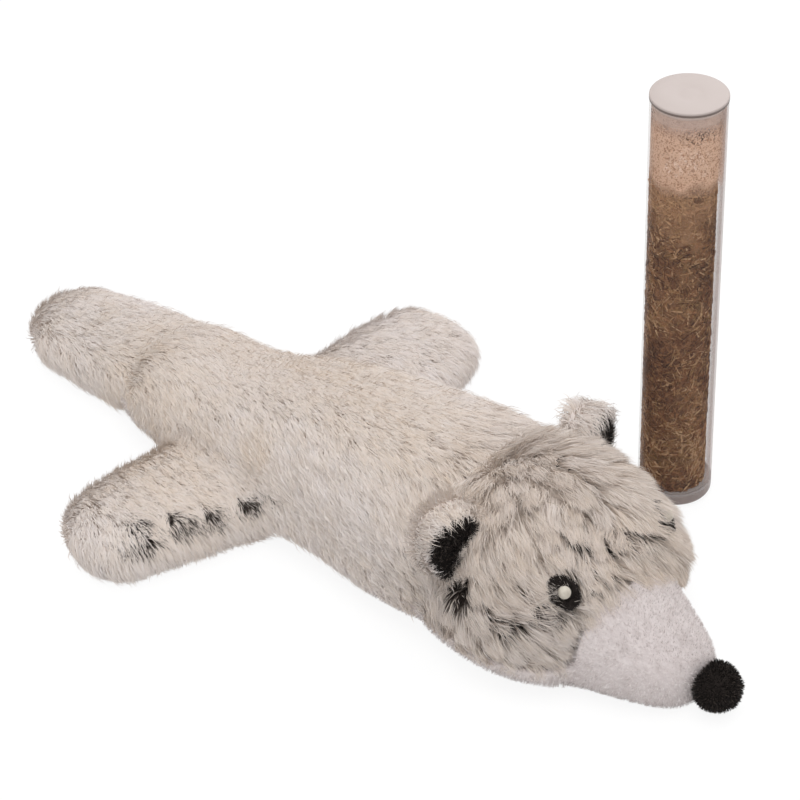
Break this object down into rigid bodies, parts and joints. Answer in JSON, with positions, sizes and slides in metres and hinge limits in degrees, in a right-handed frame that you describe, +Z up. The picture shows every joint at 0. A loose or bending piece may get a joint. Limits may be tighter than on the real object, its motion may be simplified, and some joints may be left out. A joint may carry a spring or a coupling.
{
  "type": "catnip mouse",
  "caption": "Flat stuffed fur mouse with a belly pocket for catnip, lying beside a clear standing tube of refill catnip.",
  "frame": {"origin": "on the floor, on the flat of the belly under the chest", "axes": "+X towards the nose, +Y on the animal's left, +Z up"},
  "size_m": [0.1993, 0.1137, 0.0983],
  "materials": {
    "fur": "long frosted pile, ivory tips over black-brown roots",
    "plush": "short velvety white pile",
    "black_pile": "short dense black pile",
    "black_felt": "black felt",
    "eye_bead": "satin off-white",
    "stuffing": "loose polyester fibre",
    "lining": "plain woven",
    "tape": "hook-and-loop tape",
    "muslin": "open plain weave",
    "clear_plastic": "clear moulded plastic with a dusty inside",
    "cap_plastic": "milky satin plastic",
    "catnip": "dry chopped leaf, stem and dust"
  },
  "bodies": {
    "body": {"back_fur": "fur", "head_fur": "fur", "belly_panel": "plush", "body_stuffing": "stuffing", "head_stuffing": "stuffing", "pocket_lining": "lining", "loop_tape": "tape", "catnip_pouch": "muslin", "snout": "plush", "nose_pompom": "black_pile", "left_eye_felt": "black_felt", "left_eye_bead": "eye_bead", "right_eye_felt": "black_felt", "right_eye_bead": "eye_bead"},
    "left_leg": {"left_leg": "fur"},
    "right_leg": {"right_leg": "fur"},
    "tail": {"tail": "fur"},
    "left_ear": {"left_ear_fur": "fur", "left_ear_lining": "black_pile"},
    "right_ear": {"right_ear_fur": "fur", "right_ear_lining": "black_pile"},
    "flap": {"pocket_flap": "plush", "hook_tape": "tape"},
    "tube": {"tube_wall": "clear_plastic", "catnip_charge": "catnip"},
    "cap": {"tube_cap": "cap_plastic"}
  },
  "joints": [
    {"name": "left_leg_fold", "type": "hinge", "parent": "body", "child": "left_leg", "pos_m": [-0.033, 0.02134, 0.0138], "axis": [1, 0, 0], "range_deg": [-20, 60]},
    {"name": "right_leg_fold", "type": "hinge", "parent": "body", "child": "right_leg", "pos_m": [-0.033, -0.02134, 0.0138], "axis": [-1, 0, 0], "range_deg": [-20, 60]},
    {"name": "tail_fold", "type": "hinge", "parent": "body", "child": "tail", "pos_m": [-0.073, 0, 0.01737], "axis": [0, 1, 0], "range_deg": [-20, 60]},
    {"name": "left_ear_fold", "type": "hinge", "parent": "body", "child": "left_ear", "pos_m": [0.035, 0.02523, 0.024], "axis": [0, -0.6018, 0.7986], "range_deg": [-25, 25], "stiffness_Nm_per_rad": 0.002},
    {"name": "right_ear_fold", "type": "hinge", "parent": "body", "child": "right_ear", "pos_m": [0.03651, -0.02445, 0.026], "axis": [0, -0.6018, -0.7986], "range_deg": [-25, 25], "stiffness_Nm_per_rad": 0.002},
    {"name": "flap_open", "type": "hinge", "parent": "body", "child": "flap", "pos_m": [-0.048, 0, 0], "axis": [0, 1, 0], "range_deg": [0, 85]},
    {"name": "tube_lift", "type": "slide", "parent": "body", "child": "tube", "axis": [0, 0, 1], "range_m": [0, 0.12]},
    {"name": "cap_pull", "type": "slide", "parent": "tube", "child": "cap", "axis": [0, 0, 1], "range_m": [0, 0.03]}
  ]
}
